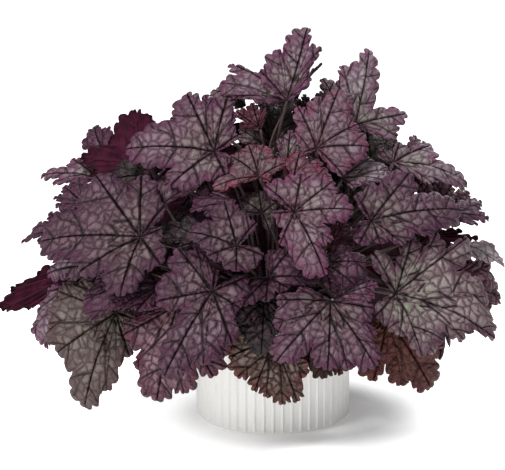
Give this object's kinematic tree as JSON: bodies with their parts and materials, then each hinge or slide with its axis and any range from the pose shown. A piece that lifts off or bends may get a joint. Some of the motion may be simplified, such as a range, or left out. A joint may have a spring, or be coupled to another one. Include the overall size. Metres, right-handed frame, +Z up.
{
  "type": "potted heuchera plant",
  "caption": "Mounded heuchera with lobed, crenate silver-lilac leaves on long stalks, growing from a crown in a white ribbed cylinder pot.",
  "frame": {"origin": "centre of the pot's flat foot, on the surface that it stands on", "axes": "+Z up along the pot's axis; the plant's front faces -Y, with +X to the right of someone who looks at it"},
  "size_m": [0.5149, 0.4079, 0.4041],
  "materials": {
    "pot_ceramic": "matte",
    "potting_mix": "matte",
    "rootstock": "matte",
    "leaf_lilac": "satin",
    "leaf_grey_lilac": "satin",
    "leaf_purple": "satin",
    "leaf_pale": "satin",
    "leaf_rose": "satin",
    "leaf_young": "satin",
    "leaf_shade": "satin",
    "leaf_taupe": "satin",
    "leaf_bronze": "satin",
    "leaf_maroon": "satin"
  },
  "bodies": {
    "root": {"pot": "pot_ceramic", "soil": "potting_mix", "crown": "rootstock", "leaf_group_top_rear": "leaf_maroon", "leaf_group_left_rear": "leaf_grey_lilac", "leaf_group_right_rear": "leaf_maroon", "leaf_top": "leaf_lilac", "leaf_top_left": "leaf_lilac", "leaf_hollow": "leaf_shade", "leaf_top_right": "leaf_grey_lilac", "leaf_left_high": "leaf_lilac", "leaf_left_under": "leaf_maroon", "leaf_right_high": "leaf_grey_lilac", "leaf_left_mid_small": "leaf_purple", "leaf_left_inner": "leaf_lilac", "leaf_right_mid_low": "leaf_lilac", "leaf_right_maroon": "leaf_maroon", "leaf_far_left": "leaf_maroon", "leaf_left_low": "leaf_lilac", "leaf_centre_small": "leaf_maroon", "leaf_upper_right": "leaf_rose", "leaf_upper_left": "leaf_lilac", "leaf_right_inner": "leaf_grey_lilac", "leaf_young_red": "leaf_young", "leaf_young_grey": "leaf_young", "leaf_shadow_left": "leaf_purple", "leaf_shadow_right": "leaf_maroon", "leaf_left_large": "leaf_grey_lilac", "leaf_right_middle": "leaf_lilac", "leaf_left_hanging": "leaf_taupe", "leaf_left_purple": "leaf_purple", "leaf_right_brown": "leaf_bronze", "leaf_front_slate": "leaf_shade", "leaf_front_pink": "leaf_rose", "leaf_front_brown": "leaf_bronze", "leaf_front_bronze": "leaf_bronze", "leaf_front_vivid": "leaf_purple", "leaf_front_magenta": "leaf_purple", "leaf_centre": "leaf_grey_lilac", "leaf_centre_right": "leaf_lilac", "leaf_right_large": "leaf_pale", "leaf_front_fold": "leaf_lilac", "leaf_front_left": "leaf_purple", "leaf_front_right": "leaf_lilac", "leaf_inner_right": "leaf_shade", "leaf_rear_01": "leaf_lilac", "leaf_rear_02": "leaf_grey_lilac", "leaf_rear_03": "leaf_grey_lilac", "leaf_rear_04": "leaf_grey_lilac", "leaf_rear_05": "leaf_purple", "leaf_rear_06": "leaf_grey_lilac", "leaf_rear_07": "leaf_lilac", "leaf_rear_08": "leaf_lilac", "leaf_rear_09": "leaf_grey_lilac", "leaf_rear_10": "leaf_grey_lilac", "leaf_rear_11": "leaf_purple", "leaf_rear_12": "leaf_purple", "leaf_rear_13": "leaf_purple", "leaf_rear_14": "leaf_grey_lilac"}
  },
  "joints": []
}
